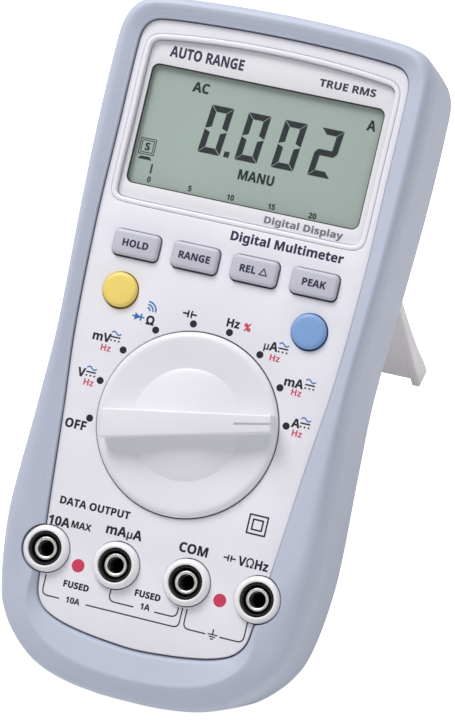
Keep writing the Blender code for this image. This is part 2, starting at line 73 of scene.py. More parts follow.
# Sizes shared with the CAD.
DIAL_Y, DIAL_RADIUS, DIAL_POINTS = 72.2, 23.7, math.radians(-78.0)
STAND_OPEN, STAND_REACH, STAND_HALF = math.radians(71.5), 110.7, 27.5
LEAN = math.radians(46.4)
SPLIT_Z, RECESS_Z, REAR_Z, BACK_Z = -16.2, -34.8, -41.0, -44.0
GAP = 0.3
KEY_Y, KEY_PITCH, KEY_SIZE, KEY_TOP = 114.1, 15.96, (12.1, 6.6), 1.5
ROUND_KEY_X, ROUND_KEY_Y, ROUND_KEY_RADIUS = 25.4, 102.0, 4.5
JACK_Y, JACK_PITCH, JACK_HOLE, OUTER_JACK_HOLE = 33.4, 19.0, 6.25, 6.4
JACKS = ["10a", "ma", "com", "volt"]
OUTER_JACKS = (0, 3)
KEYS = ["key_hold", "key_range", "key_relative", "key_peak"]
COVER_SCREW_Y = 121.0
WINDOW = (-29.3, 29.3, 18.4, 165.0, 4.0)  # sides, ends and corner radius of the opening in the holster's back
LIP_Z = -3.7  # underside of the holster's lip round the panel
COVER_EDGE_Z = RECESS_Z + 1.1
PRINT = 0.03  # thickness of ink
LABEL_Z, SEGMENT_Z, SEGMENT_THICK = -1.5, -3.1, 0.05

HOLSTER = [
    (0, 0.4), (9.5, 0.7), (18.9, 2.1), (26.5, 5.0), (33.4, 10.8), (37.6, 17), (39.5, 23),
    (40.9, 32), (41.6, 44), (40.6, 70), (40.0, 90), (41.4, 119), (42.3, 142), (42.3, 164.5),
    (41.4, 171.6), (38.2, 176.4), (32.5, 178.4), (16.5, 179.6), (0, 180),
]
PANEL = [
    (0, 13.9), (7, 14.3), (14, 15.1), (20.5, 16.4), (25.2, 18.4), (27.7, 21.4), (28.6, 25.5),
    (29.3, 33), (30.5, 44), (32.8, 70), (34.8, 90), (36.0, 119), (36.0, 142), (36.0, 164.5),
    (35.5, 168.8), (33.7, 171.3), (30.5, 172.3), (15.5, 173.2), (0, 173.5),
]
DISPLAY = [
    (0, 125.5), (16, 125.5), (30.3, 125.6), (32.4, 126.3), (32.9, 128.3), (32.9, 146),
    (32.9, 164.2), (32.3, 166.3), (30.4, 167.3), (16, 168.7), (0, 169.2),
]
# Where the crest of the holster's rim lies between its outer edge (0) and the panel (1), key by key,
# and how far the scooped floor below the panel shows there.
CREST = [0.43, 0.44, 0.46, 0.52, 0.62, 0.76, 0.87, 0.9, 0.5] + [0.46] * 10
SCOOP = [1, 1, 1, 1, 1, 1, 1, 0.5, 0] + [0] * 10
SMOOTH = 8
# Heights of the rim, from its outer edge (0) to the panel (1), and below the panel to its crest (1).
SIDE_RIM = [(0, -4.0), (0.03, -1.6), (0.13, 1.0), (0.3, 2.3), (0.46, 2.5), (0.75, 1.8), (1.0, 1.1)]
LOW_RIM = [(0, -4.0), (0.04, -2.4), (0.15, -0.9), (0.4, 0.4), (0.7, 1.4), (1, 2.1)]


# ---- frames ----

joints = {joint["name"]: joint for joint in frame["joints"]}
face_out = Vector(joints["dial_turn"]["axis"])
face_right = Vector((1, 0, 0))
face_up = face_out.cross(face_right)
TILT = Matrix((face_right, face_up, face_out)).transposed().to_4x4()


def placed(origin, turn=Matrix.Identity(4)):
    return Matrix.Translation(origin) @ TILT @ turn


dial_centre = Vector(joints["dial_turn"]["pos_m"])
METER = placed(dial_centre - face_up * DIAL_Y * MM)
DIAL = placed(dial_centre, Matrix.Rotation(DIAL_POINTS, 4, "Z"))
STAND = placed(Vector(joints["stand_fold"]["pos_m"]), Matrix.Rotation(STAND_OPEN, 4, "X"))


def at(x, y, z=0.0):
    return METER @ Matrix.Translation(Vector((x, y, z)) * MM)


def rider(node):
    """The name of the CAD body that a CAD node belongs to."""
    return frame["nodes"][node]["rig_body"]


# ---- outlines ----


def catmull_rom(a, b, c, d, t):
    return b + 0.5 * t * (c - a + t * (2 * a - 5 * b + 4 * c - d + t * (3 * (b - c) + d - a)))


def curve_through(rows, steps):
    """Rows of numbers joined by a smooth curve, with steps points for each stretch."""
    ends = [rows[0]] + list(rows) + [rows[-1]]
    made = []
    for before, start, end, after in zip(ends, ends[1:], ends[2:], ends[3:]):
        for step in range(steps):
            made.append(tuple(catmull_rom(*four, step / steps) for four in zip(before, start, end, after)))
    return made + [tuple(rows[-1])]


def smooth_half(keys, steps=SMOOTH):
    """A smooth curve through the keys of a half outline and their mirror images, as one closed loop."""
    spots = [Vector(key) for key in keys] + [Vector((-x, y)) for x, y in reversed(keys[1:-1])]
    count = len(spots)
    spans = [spots[(i + 1) % count] - spots[i] for i in range(count)]
    slopes = [(spans[i - 1] + spans[i]).normalized() for i in range(count)]
    made = []
    for i, span in enumerate(spans):
        leave, arrive = slopes[i] * span.length, slopes[(i + 1) % count] * span.length
        for step in range(steps):
            t = step / steps
            bend = (leave * (1 - t) - arrive * t) * t * (1 - t)
            made.append(tuple(spots[i] + span * t * t * (3 - 2 * t) + bend))
    return made


def along_half(values, steps=SMOOTH):
    """One value for every point of smooth_half, from one value for each key."""
    right = [value for (value,) in curve_through([(value,) for value in values], steps)]
    return right + right[-2:0:-1]


def inset(outline, distance):
    """The outline moved inwards by a distance, or outwards where it is negative."""
    moved = []
    count = len(outline)
    for i, point in enumerate(outline):
        before = (Vector(point) - Vector(outline[i - 1])).normalized()
        after = (Vector(outline[(i + 1) % count]) - Vector(point)).normalized()
        along = (before + after).normalized()
        reach = distance / max(along.dot(after), 0.5)
        moved.append((point[0] - along.y * reach, point[1] + along.x * reach))
    return moved


def blend(outer, inner, part):
    return [(a[0] + (b[0] - a[0]) * part, a[1] + (b[1] - a[1]) * part) for a, b in zip(outer, inner)]


def rounded_box(x0, x1, y0, y1, radius, steps=6):
    outline = []
    for x, y, start in ((x1, y0, -90), (x1, y1, 0), (x0, y1, 90), (x0, y0, 180)):
        centre_x = x - math.copysign(radius, x - (x0 + x1) / 2)
        centre_y = y - math.copysign(radius, y - (y0 + y1) / 2)
        for step in range(steps + 1):
            angle = math.radians(start + 90 * step / steps)
            outline.append((centre_x + radius * math.cos(angle), centre_y + radius * math.sin(angle)))
    return outline


def circle(x, y, radius, sides=64):
    turns = [2 * math.pi * i / sides for i in range(sides)]
    return [(x + radius * math.cos(turn), y + radius * math.sin(turn)) for turn in turns]


def nearest_on_box(outline, x0, x1, y0, y1, radius):
    """For each point of an outline, the nearest point on a rounded box inside it."""
    made = []
    for x, y in outline:
        core = Vector((min(max(x, x0 + radius), x1 - radius), min(max(y, y0 + radius), y1 - radius)))
        out = (Vector((x, y)) - core).normalized()
        made.append(tuple(core + out * radius))
    return made


def notched(outline, x, y, radius, way=-1, steps=24):
    """The outline with a circle that crosses it taken away (way -1) or added (way 1)."""
    inside = [math.hypot(px - x, py - y) < radius for px, py in outline]
    start = next(i for i in range(len(outline)) if inside[i] and not inside[i - 1])
    turned_round = outline[start:] + outline[:start]
    count = next(i for i, (px, py) in enumerate(turned_round) if math.hypot(px - x, py - y) >= radius)
    kept = turned_round[count:]
    enter = crossing(kept[-1], turned_round[0], x, y, radius)
    leave = crossing(kept[0], turned_round[count - 1], x, y, radius)
    sweep = way * (way * (leave - enter) % (2 * math.pi))
    turns = [enter + sweep * step / steps for step in range(steps + 1)]
    bite = [(x + radius * math.cos(turn), y + radius * math.sin(turn)) for turn in turns]
    ends = (bite[0], bite[-1])
    return [point for point in kept if min(math.dist(point, end) for end in ends) > 0.6] + bite


def crossing(outside, inside, x, y, radius):
    """The angle at which a line from outside a circle to inside it crosses the circle."""
    low, high = Vector(outside), Vector(inside)
    for _ in range(30):
        middle = (low + high) / 2
        if math.hypot(middle.x - x, middle.y - y) >= radius:
            low = middle
        else:
            high = middle
    return math.atan2(low.y - y, low.x - x)


def towards(outer, inner, distance):
    made = []
    for a, b in zip(outer, inner):
        way = Vector(b) - Vector(a)
        made.append(tuple(Vector(a) + way.normalized() * min(distance, way.length)))
    return made


# ---- shapes: each is (points, smooth faces, flat faces), in millimetres ----


def combine(*shapes):
    points, smooth, flat = [], [], []
    for more_points, more_smooth, more_flat in shapes:
        start = len(points)
        points += more_points
        smooth += [tuple(start + i for i in face) for face in more_smooth]
        flat += [tuple(start + i for i in face) for face in more_flat]
    return points, smooth, flat


def moved(shape, matrix):
    points, smooth, flat = shape
    return [tuple(matrix @ Vector(point)) for point in points], smooth, flat


def rings(loops, closed=False):
    """Quads joining loops of points, each loop wound anticlockwise seen from above, lowest loop first."""
    count = len(loops[0])
    points = [tuple(point) for loop in loops for point in loop]
    faces = []
    spans = len(loops) if closed else len(loops) - 1
    for layer in range(spans):
        low, high = layer * count, (layer + 1) % len(loops) * count
        for i in range(count):
            j = (i + 1) % count
            faces.append((low + i, low + j, high + j, high + i))
    return points, faces, []


def at_height(outline, z):
    return [(x, y, z) for x, y in outline]


def loft(layers):
    """A closed solid through (z, outline) layers from low to high, with flat end faces."""
    points, faces, _ = rings([at_height(outline, z) for z, outline in layers])
    count = len(layers[0][1])
    last = (len(layers) - 1) * count
    return points, faces, [tuple(reversed(range(count))), tuple(range(last, last + count))]


def plate(outline, holes, low, high, edge=0.3, steps=4):
    """A flat plate with holes, whose edges are all rounded by the same radius."""
    arc = [math.pi / 2 * i / steps for i in range(steps + 1)]
    profile = [(low + edge - edge * math.cos(a), edge - edge * math.sin(a)) for a in arc]
    profile += [(high - edge + edge * math.sin(a), edge - edge * math.cos(a)) for a in arc]
    points, smooth = [], []
    caps, bottom, top = [], [], []
    for number, loop in enumerate([outline, *holes]):
        sign = 1 if number == 0 else -1
        start = len(points)
        wall, faces, _ = rings([at_height(inset(loop, sign * distance), z) for z, distance in profile])
        points += wall
        smooth += [tuple(start + i for i in face[::sign]) for face in faces]
        caps.append([point[:2] for point in wall[: len(loop)]])
        bottom += range(start, start + len(loop))
        top += range(len(points) - len(loop), len(points))
    flat = []
    for a, b, c in triangles(caps):
        flat += [(top[a], top[b], top[c]), (bottom[a], bottom[c], bottom[b])]
    return points, smooth, flat


def triangles(loops):
    """Triangles between the first loop and those inside it, as numbers in the list of all their points."""
    spots = [Vector(point) for loop in loops for point in loop]
    edges = []
    for loop in loops:
        start = len(edges)
        edges += [(start + i, start + (i + 1) % len(loop)) for i in range(len(loop))]
    verts, _, faces, origins, _, _ = delaunay_2d_cdt(spots, edges, [], 0, 1e-7)
    xy = np.array(spots)
    # Where two edges touch, the point made there is taken for the nearest of the loops' own points.
    owners = []
    for vert, own in zip(verts, origins):
        owners.append(own[0] if own else np.linalg.norm(xy - vert, axis=1).argmin())
    faces = [tuple(int(owners[corner]) for corner in face) for face in faces]
    faces = [face for face in faces if len(set(face)) == 3]
    middles = xy[np.array(faces)].mean(axis=1)
    starts, ends = xy[[edge[0] for edge in edges]], xy[[edge[1] for edge in edges]]
    inside = np.zeros(len(faces), bool)
    for (x0, y0), (x1, y1) in zip(starts, ends):
        if y0 != y1:
            level = (y0 > middles[:, 1]) != (y1 > middles[:, 1])
            inside ^= level & (middles[:, 0] < x0 + (middles[:, 1] - y0) * (x1 - x0) / (y1 - y0))
    made = []
    for keep, (a, b, c) in zip(inside, faces):
        if keep:
            turn = (xy[b] - xy[a])[0] * (xy[c] - xy[a])[1] - (xy[b] - xy[a])[1] * (xy[c] - xy[a])[0]
            made.append((a, b, c) if turn > 0 else (a, c, b))
    return made


def turned(profile, sides=96):
    """A solid turned about z, from a profile of (radius, z) that starts and ends on the axis."""
    inner = profile[1:-1]
    count = len(inner)
    points = [(0, 0, profile[0][1]), (0, 0, profile[-1][1])]
    for side in range(sides):
        turn = 2 * math.pi * side / sides
        points += [(radius * math.cos(turn), radius * math.sin(turn), z) for radius, z in inner]
    faces = []
    for side in range(sides):
        here, there = 2 + side * count, 2 + (side + 1) % sides * count
        faces.append((0, there, here))
        faces += [(here + i, there + i, there + i + 1, here + i + 1) for i in range(count - 1)]
        faces.append((here + count - 1, there + count - 1, 1))
    return points, faces, []


def tube(profile, sides=96):
    """A ring turned about z, from a closed profile of (radius, z) that runs up its outer side."""
    return rings([at_height(circle(0, 0, radius, sides), z) for radius, z in profile], closed=True)


def along_x(shape):
    return moved(shape, Matrix(((0, 0, 1), (1, 0, 0), (0, 1, 0))))


# ---- pieces ----


def placed_mesh(name, shape, matrix):
    points, smooth, flat = shape
    mesh = bpy.data.meshes.new(name)
    mesh.from_pydata([tuple(matrix @ (Vector(point) * MM)) for point in points], [], smooth + flat)
    mesh.polygons.foreach_set("use_smooth", [True] * len(smooth) + [False] * len(flat))
    mesh.update()
    return mesh


def added(name, data):
    """A new object in the scene."""
    item = bpy.data.objects.new(name, data)
    bpy.context.scene.collection.objects.link(item)
    return item


def piece(name, shape, body, slot, matrix=METER, nodes=(), material=None, sharp=35, cuts=()):
    """One visible piece, in place, riding on its CAD body and standing for the CAD nodes named.

    It has its slot's own look unless another material is given.
    """
    item = added(name, placed_mesh(name, shape, matrix))
    for number, cut in enumerate(cuts):
        item.data = carved(item, placed_mesh(f"{name}_cut_{number}", cut, matrix))
    item.data.set_sharp_from_angle(angle=math.radians(sharp))
    item.data.materials.clear()
    item.data.materials.append(material or LOOKS[slot])
    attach(item, body)
    if nodes:
        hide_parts(*nodes)
    return item


def carved(item, cut):
    """The item's mesh with another mesh's space taken out of it."""
    cutter = added(cut.name, cut)
    modifier = item.modifiers.new("carve", "BOOLEAN")
    modifier.operation = "DIFFERENCE"
    modifier.solver = "EXACT"
    modifier.object = cutter
    bpy.context.view_layer.update()
    carved_item = item.evaluated_get(bpy.context.evaluated_depsgraph_get())
    result = bpy.data.meshes.new_from_object(carved_item)
    item.modifiers.clear()
    bpy.data.objects.remove(cutter)
    return result


# ---- materials ----


def srgb(red, green, blue):
    """A colour given as 0-255 screen values, in linear light."""
    levels = [value / 255 for value in (red, green, blue)]
    return tuple(((level + 0.055) / 1.055) ** 2.4 for level in levels)


class Look:
    """A Principled material under construction, with noise in object space, in metres."""

    def __init__(self, name, **values):
        self.material = bpy.data.materials.new(name)
        self.material.use_nodes = True
        self.tree = self.material.node_tree
        self.shader = self.tree.nodes["Principled BSDF"]
        for socket, value in values.items():
            self.shader.inputs[socket.replace("_", " ")].default_value = value
        whole = self.tree.nodes.new("ShaderNodeTexCoord").outputs["Object"]
        leaning = self.node("Mapping", {"vector_type": "TEXTURE"}, Vector=whole, Rotation=(LEAN, 0, 0))
        self.place = leaning.outputs["Vector"]

    def node(self, kind, settings=None, **inputs):
        made = self.tree.nodes.new("ShaderNode" + kind)
        for name, value in (settings or {}).items():
            setattr(made, name, value)
        for name, value in inputs.items():
            self.put(made.inputs[name.replace("_", " ")], value)
        return made

    def put(self, socket, value):
        if isinstance(value, bpy.types.NodeSocket):
            self.tree.links.new(value, socket)
        else:
            socket.default_value = value

    def noise(self, size, detail=2.0, place=None):
        """Noise from 0 to 1 whose blotches are about size millimetres across."""
        made = self.node("TexNoise", Vector=place or self.place, Scale=1000 / size, Detail=detail)
        return made.outputs["Fac"]

    def stretched(self, x, y, z):
        return self.node("Mapping", Vector=self.place, Scale=(x, y, z)).outputs["Vector"]

    def ramp(self, value, low, high, start=0.0, end=1.0):
        made = self.node("MapRange", Value=value)
        for socket, number in zip(("From Min", "From Max", "To Min", "To Max"), (low, high, start, end)):
            made.inputs[socket].default_value = number
        return made.outputs["Result"]

    def mix(self, factor, first, second):
        made = self.node("Mix", {"data_type": "RGBA"})
        self.put(made.inputs[0], factor)
        for socket, colour in ((made.inputs[6], first), (made.inputs[7], second)):
            self.put(socket, (*colour, 1) if isinstance(colour, tuple) and len(colour) == 3 else colour)
        return made.outputs[2]

    def bump(self, height, depth, onto=None, strength=1.0):
        made = self.node("Bump", Height=height, Distance=depth * MM, Strength=strength)
        if onto:
            self.tree.links.new(onto, made.inputs["Normal"])
        return made.outputs["Normal"]

    def finish(self, colour=None, roughness=None, normal=None):
        for socket, value in (("Base Color", colour), ("Roughness", roughness), ("Normal", normal)):
            if value is not None:
                self.tree.links.new(value, self.shader.inputs[socket])
        return self.material


def moulded(name, colour, roughness=0.4, grain=0.25, depth=0.006, mottle=0.03, wear=0.05, **values):
    """Moulded plastic or rubber: fine grain, colour drift, uneven gloss, rubbed edges and dust specks."""
    look = Look(name, **values)
    light = tuple(min(1, c * (1 + mottle)) for c in colour)
    dark = tuple(c * (1 - mottle) for c in colour)
    drift = look.ramp(look.noise(34, 3), 0.3, 0.7)
    tint = look.mix(drift, dark, light)
    speck = look.ramp(look.noise(0.9, 1), 0.66, 0.78)
    tint = look.mix(look.ramp(speck, 0, 1, 0, 0.16), tint, tuple(c * 0.86 for c in colour))
    edges = look.ramp(look.node("NewGeometry").outputs["Pointiness"], 0.515, 0.56, 0, wear)
    tint = look.mix(edges, tint, tuple(min(1, c * 1.2 + 0.03) for c in colour))
    gloss = look.ramp(look.noise(6, 4), 0.3, 0.7, roughness - 0.05, roughness + 0.06)
    fine = look.bump(look.noise(grain, 2), depth)
    waves = look.bump(look.noise(9, 1), 0.02, onto=fine, strength=0.35)
    return look.finish(tint, gloss, waves)


def metal(name, colour, roughness, rings_size=0.12):
    """Turned or drawn metal: fine tool rings along z, smudges and tarnish."""
    look = Look(name, Metallic=1.0)
    lines = look.noise(rings_size, 2, look.stretched(0.15, 0.15, 1))
    stain = look.ramp(look.noise(2.5, 4), 0.45, 0.75, 0, 0.5)
    tint = look.mix(stain, colour, tuple(c * 0.62 for c in colour))
    gloss = look.ramp(look.noise(1.2, 3), 0.3, 0.7, roughness - 0.08, roughness + 0.12)
    return look.finish(tint, gloss, look.bump(lines, 0.006))


def ink(name, colour):
    """Screen-printed ink: slightly uneven cover and a dry surface."""
    look = Look(name, Specular_IOR_Level=0.2)
    cover = look.ramp(look.noise(0.35, 3), 0.35, 0.75, 0, 0.25)
    tint = look.mix(cover, colour, tuple(min(1, c + 0.05) for c in colour))
    gloss = look.ramp(look.noise(1.5, 2), 0.3, 0.7, 0.45, 0.6)
    return look.finish(tint, gloss, look.bump(look.noise(0.2, 1), 0.004))


def lcd_look(name):
    """Reflective LCD: a faintly pearly green-grey polariser over a grainy silver reflector."""
    look = Look(name, Coat_Weight=0.35, Coat_Roughness=0.12)
    grain = look.ramp(look.noise(0.12, 2), 0.3, 0.7)
    tint = look.mix(grain, srgb(163, 178, 172), srgb(171, 186, 179))
    slow = look.ramp(look.noise(30, 2), 0.3, 0.7, 0, 0.5)
    tint = look.mix(slow, tint, srgb(173, 189, 183))
    return look.finish(tint, look.ramp(look.noise(5, 2), 0.3, 0.7, 0.28, 0.4), look.bump(grain, 0.003))


def lens_look(name):
    """Clear window: mostly see-through, with faint wiping marks in its gloss."""
    look = Look(name, Alpha=0.03, Base_Color=(0.35, 0.36, 0.36, 1), IOR=1.49)
    marks = look.noise(1.4, 4, look.stretched(1, 0.25, 1))
    return look.finish(None, look.ramp(marks, 0.3, 0.7, 0.03, 0.12), look.bump(look.noise(25, 1), 0.01))


def board_look(name):
    """Printed circuit board: solder mask over a raised pattern of copper tracks."""
    look = Look(name)
    kind = {"distance": "MANHATTAN", "feature": "DISTANCE_TO_EDGE"}
    cells = look.node("TexVoronoi", kind, Vector=look.place, Scale=260)
    track = look.ramp(cells.outputs["Distance"], 0.04, 0.09)
    tint = look.mix(track, (0.02, 0.20, 0.08), (0.015, 0.12, 0.05))
    return look.finish(tint, look.ramp(look.noise(2, 3), 0.3, 0.7, 0.3, 0.5), look.bump(track, -0.03))


LOOKS = [
    moulded("holster_rubber", srgb(187, 194, 213), 0.52, 0.3, 0.010, 0.02, 0.04, Sheen_Weight=0.12),
    moulded("case_white", srgb(236, 235, 243), 0.38),
    moulded("collar_white", srgb(240, 240, 244), 0.28, 0.3, 0.003),
    moulded("stand_white", srgb(226, 222, 226), 0.38),
    moulded("knob_white", srgb(232, 232, 239), 0.36, 0.22, 0.004),
    moulded("label_white", srgb(236, 236, 242), 0.5, 0.2, 0.002, 0.015, 0),
    moulded("tray_white", (0.72, 0.72, 0.72), 0.5),
    lens_look("lens_clear"),
    lcd_look("lcd_glass"),
    moulded("light_guide", (0.75, 0.80, 0.78), 0.15, 0.5, 0.004, Transmission_Weight=0.3),
    moulded("elastomer", (0.15, 0.15, 0.16), 0.65, 0.2, 0.01),
    board_look("board_green"),
    moulded("key_grey", srgb(196, 196, 208), 0.42, 0.2, 0.005),
    moulded("key_yellow", srgb(243, 216, 112), 0.36, 0.2, 0.004),
    moulded("key_blue", srgb(128, 166, 218), 0.36, 0.2, 0.004),
    moulded("plastic_black", (0.012, 0.012, 0.013), 0.32, 0.25, 0.006, 0.1),
    metal("contact_metal", (0.93, 0.92, 0.89), 0.36),
    metal("steel", (0.60, 0.60, 0.62), 0.32),
    moulded("fuse_ceramic", (0.85, 0.84, 0.80), 0.35, 0.3, 0.01),
    metal("battery_jacket", (0.10, 0.11, 0.13), 0.38, 1.5),
    moulded("lead_red", (0.45, 0.03, 0.03), 0.5),
    moulded("port_filter", (0.06, 0.006, 0.01), 0.12, 0.4, 0.002, Coat_Weight=0.4),
]
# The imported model's materials have the same names, so Blender puts a number after a point behind these.
LOOKS = {look.name.split(".")[0]: look for look in LOOKS}
# Matt black for a cup lining each socket's hole: painted shade, so the hole reads dark as if in deep shadow.
HOLE_PAINTED_SHADE = moulded("bore_black", (0.008, 0.008, 0.008), 0.75, Specular_IOR_Level=0.15)
INKS = {
    "black": ink("ink_black", srgb(38, 36, 46)),
    "navy": ink("ink_navy", srgb(52, 50, 78)),
    "grey": ink("ink_grey", srgb(120, 118, 134)),
    "blue": ink("ink_blue", srgb(62, 124, 190)),
    "red": ink("ink_red", srgb(206, 62, 96)),
    "segment": ink("lcd_segment", srgb(22, 34, 40)),
}
for node in frame["nodes"].values():
    for slot in node.material_slots:
        slot.material = LOOKS[slot.material.name.split(".")[0]]


# ---- holster ----


def rim_height(part, crest, scoop):
    """Height of the holster's front at a part of the way from its outer edge (0) to the panel (1)."""
    side = height_on(SIDE_RIM, part)
    if scoop <= 0:
        return side
    if part <= crest:
        low = height_on(LOW_RIM, part / crest)
    else:
        past = (part - crest) / (1 - crest)
        low = LOW_RIM[-1][1] * (1 - past) - 0.9 * max(0, (past - 0.88) / 0.12)
    return side + (low - side) * min(scoop, 1)


def height_on(rows, part):
    """Height at a part of the way along rows of (part, height) joined by a smooth curve."""
    last = len(rows) - 1
    end = next((i for i in range(1, last) if part <= rows[i][0]), last)
    (x0, z0), (x1, z1) = rows[end - 1], rows[end]
    before, after = rows[max(end - 2, 0)][1], rows[min(end + 1, last)][1]
    return catmull_rom(before, z0, z1, after, (part - x0) / (x1 - x0))


def add_holster():
    outer, lip = smooth_half(HOLSTER), inset(smooth_half(PANEL), -GAP)
    window = nearest_on_box(outer, *WINDOW)
    crest, scoop = along_half(CREST), along_half(SCOOP)

    def behind(z, distance):
        return at_height(towards(outer, window, distance), z)

    def rim(part, drop):
        across = blend(outer, lip, part)
        return [(x, y, rim_height(part, c, s) - drop) for (x, y), c, s in zip(across, crest, scoop)]

    lining = [(REAR_Z - GAP, 7.4), (-38.3, 6.1), (-33.3, 5.1), (SPLIT_Z, 4.3), (LIP_Z, 4.1)]
    side = [(-4.0, 0), (-18.0, 0.6), (-30.0, 1.3), (-35.5, 1.9), (-41.0, 4.2), (-43.2, 6.4), (BACK_Z, 8.5)]
    loops = [at_height(window, REAR_Z - GAP)] + [behind(z, distance) for z, distance in lining]
    loops += [at_height(lip, LIP_Z), at_height(lip, LIP_Z + 0.7), rim(1.0, 0.35), rim(1.0, 0.12)]
    steps = [0.985] + [1 - step / 40 for step in range(1, 38)] + [0.05, 0.03, 0.015, 0.005]
    loops += [rim(part, 0) for part in steps]
    loops += [behind(z, distance) for z, distance in curve_through(side, 4)]
    for z, distance in ((BACK_Z, 1.0), (-43.9, 0.55), (-43.6, 0.2), (-43.1, 0.0)):
        loops.append(at_height(inset(window, -distance), z))
    points, faces, _ = rings(loops, closed=True)
    # What would reach below the table is pressed flat on it.
    meter_from_world = METER.inverted()
    on_table = []
    for point in points:
        world = METER @ (Vector(point) * MM)
        if world.z < 0:
            world.z = 0
            point = tuple(meter_from_world @ world / MM)
        on_table.append(point)
    reliefs = []
    for number in OUTER_JACKS:
        relief = turned([(0, -4.2), (OUTER_JACK_HOLE, -4.2), (OUTER_JACK_HOLE, 8), (0, 8)])
        reliefs.append(moved(relief, Matrix.Translation((jack_x(number), JACK_Y, 0))))
    piece("holster_shell", (on_table, faces, []), "meter", "holster_rubber",
          nodes=["holster"], sharp=50, cuts=reliefs)


# ---- cases ----


def key_outline(x, y, grow=0.0):
    half_x, half_y = KEY_SIZE[0] / 2 + grow, KEY_SIZE[1] / 2 + grow
    return rounded_box(x - half_x, x + half_x, y - half_y, y + half_y, 1.3 + max(grow, -0.9))


def jack_x(number):
    return JACK_PITCH * (number - 1.5)


def key_x(number):
    return KEY_PITCH * (number - 1.5)


def add_front_case():
    outer, panel, display = smooth_half(HOLSTER), smooth_half(PANEL), smooth_half(DISPLAY)
    opening = inset(panel, 2.0)
    key_holes = [key_outline(key_x(i) + 0.08, KEY_Y - 0.12, GAP) for i in range(4)]
    for side in (-1, 1):
        key_holes.append(circle(side * ROUND_KEY_X + 0.06, ROUND_KEY_Y - 0.1, ROUND_KEY_RADIUS + GAP))
    controls = key_holes + [circle(jack_x(i), JACK_Y, JACK_HOLE) for i in (1, 2)]
    for i in OUTER_JACKS:
        panel = notched(panel, jack_x(i), JACK_Y, JACK_HOLE)
        opening = notched(opening, jack_x(i), JACK_Y, OUTER_JACK_HOLE, 1)
    face_holes = [inset(display, -1.35), circle(0, DIAL_Y, DIAL_RADIUS + GAP, 128), *controls]
    face = plate(panel, face_holes, -1.35, 0.0, 0.28)
    under_holes = [inset(display, 1.3), circle(0, DIAL_Y, 9.0), *controls]
    under = plate(inset(panel, 0.3), under_holes, -3.6, -2.0, 0.1, 2)
    bead = [(1.3, -2.6), (-1.2, -2.6), (-1.2, -2.15), (0.0, -2.1), (0.0, -0.5), (0.02, -0.15), (0.1, 0.02),
            (0.3, 0.14), (0.65, 0.18), (1.0, 0.16), (1.17, 0.08), (1.27, -0.1), (1.3, -0.5)]
    bead = rings([at_height(inset(display, -out), z) for out, z in bead], closed=True)
    sides = [(SPLIT_Z, 4.6), (-4.2, 4.4), (-4.0, 4.8), (-4.0, 6.0), (-4.4, 6.4), (-6.8, 6.4), (SPLIT_Z, 6.6)]
    sides = rings([at_height(inset(outer, distance), z) for z, distance in sides], closed=True)
    shoulder = plate(inset(outer, 4.8), [opening], -4.4, LIP_Z, 0.1, 2)
    shape = combine(face, under, bead, sides, shoulder)
    piece("front_case_shell", shape, "meter", "case_white", nodes=["front_case"])
    # Black rings under the gaps round the keys and the dial: painted shade, so the gaps read dark as if in
    # shadow.
    gap_shades = [plate(inset(hole, -0.4), [inset(hole, 0.2)], -1.9, -1.45, 0.05, 1) for hole in key_holes]
    dial_gap = [circle(0, DIAL_Y, DIAL_RADIUS + reach, 128) for reach in (0.8, -0.8)]
    gap_shades.append(plate(dial_gap[0], dial_gap[1:], -1.9, -1.4, 0.05, 1))
    piece("control_gap_shades", combine(*gap_shades), "meter", "elastomer", material=LOOKS["plastic_black"])


def add_rear_case():
    outer = smooth_half(HOLSTER)
    window = nearest_on_box(outer, *WINDOW)
    recess = rounded_box(-STAND_HALF - 0.5, STAND_HALF + 0.5, 19.8, 140, 2)
    port = rounded_box(-8, 8, 151, 159, 1.5)
    back = plate(towards(outer, window, 7.9), [recess, port], REAR_Z, -33.6, 0.5)
    floor = plate(inset(recess, -0.6), [rounded_box(-15.3, 15.3, 60.7, 125.3, 2)], RECESS_Z, -32.4, 0.3)
    port_floor = plate(rounded_box(-9, 9, 150, 160, 2), [], REAR_Z + 1.0, -38.0, 0.2, 2)
    seam = SPLIT_Z - GAP
    sides = [(-40.6, 7.9), (-38.0, 6.4), (-33.0, 5.4), (seam, 4.6), (seam, 6.6), (-33.0, 7.4), (-38.0, 8.4)]
    sides = rings([at_height(towards(outer, window, distance), z) for z, distance in sides], closed=True)
    shelf = plate(rounded_box(-16.5, 16.5, 59.5, 126.5, 2.5), [], -33.4, -32.8, 0.1, 2)
    ribs = []
    for x in (-19.5, -23.5, 19.5, 23.5):
        rib = rounded_box(x - 0.6, x + 0.6, 30, 118, 0.6)
        ribs.append(plate(rib, [], RECESS_Z - 0.5, RECESS_Z + 0.4, 0.2, 3))
    shape = combine(back, floor, port_floor, sides, shelf, *ribs)
    piece("rear_case_shell", shape, "meter", "case_white", nodes=["rear_case"])


def add_battery_cover():
    outline = rounded_box(-15, 15, 61, 125, 1.7)
    door = plate(outline, [circle(0, COVER_SCREW_Y, 2.75, 48)], RECESS_Z, COVER_EDGE_Z, 0.3)
    seat_z = RECESS_Z + 0.35
    seat = tube([(1.5, COVER_EDGE_Z), (2.9, COVER_EDGE_Z), (2.9, seat_z), (1.5, seat_z)], 48)
    seat = moved(seat, Matrix.Translation((0, COVER_SCREW_Y, 0)))
    ridges = []
    for number in range(6):
        ridge = rounded_box(-8, 8, 65.5 + 2.2 * number, 66.5 + 2.2 * number, 0.5)
        ridges.append(plate(ridge, [], RECESS_Z - 0.45, RECESS_Z + 0.3, 0.2, 3))
    arrow = [(-3.2, 84.5), (0, 81.0), (3.2, 84.5), (1.2, 84.5), (1.2, 90), (-1.2, 90), (-1.2, 84.5)]
    ridges.append(plate(arrow, [], RECESS_Z - 0.3, RECESS_Z + 0.3, 0.12, 2))
    shape = combine(door, seat, *ridges)
    piece("battery_door", shape, "meter", "case_white", nodes=["battery_cover"])


